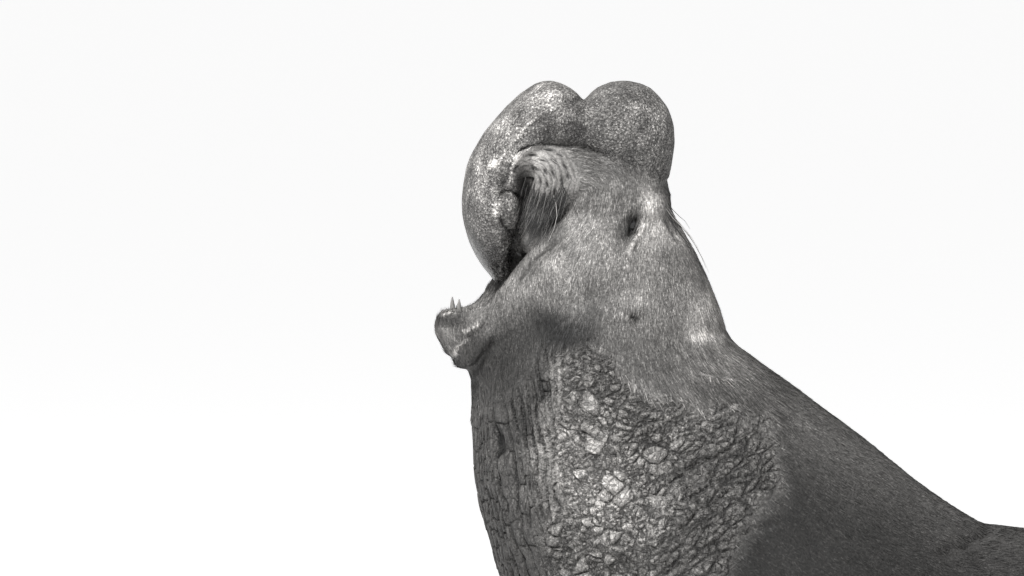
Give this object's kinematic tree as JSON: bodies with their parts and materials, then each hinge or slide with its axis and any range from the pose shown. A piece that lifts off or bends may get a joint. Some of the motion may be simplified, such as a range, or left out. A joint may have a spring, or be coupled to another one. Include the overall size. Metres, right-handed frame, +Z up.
{
  "type": "elephant seal",
  "caption": "Bull elephant seal reared on its foreflippers, calling, its two-lobed nose hung into its open mouth.",
  "frame": {"origin": "on the floor, under the middle of the bounding box", "axes": "+X from the face towards the hind flippers, +Y to the animal's right, +Z up"},
  "size_m": [4.1334, 1.8378, 1.9069],
  "materials": {
    "skin": "short dull fur",
    "nose_skin": "grained bare skin",
    "shield": "cracked, scarred hide",
    "tongue": "moist",
    "tooth": "smooth enamel",
    "eye": "wet gloss"
  },
  "bodies": {
    "root": {"head": "skin", "proboscis_rear_lobe": "nose_skin", "proboscis_front_lobe": "nose_skin", "lower_jaw": "skin", "tongue": "tongue", "canine_left": "tooth", "canine_right": "tooth", "eye_left": "eye", "eye_right": "eye", "neck": "skin", "chest": "shield", "trunk": "skin", "hindquarters": "skin", "tail": "skin", "foreflipper_left": "skin", "foreflipper_right": "skin", "hindflipper_left": "skin", "hindflipper_right": "skin"}
  },
  "joints": []
}
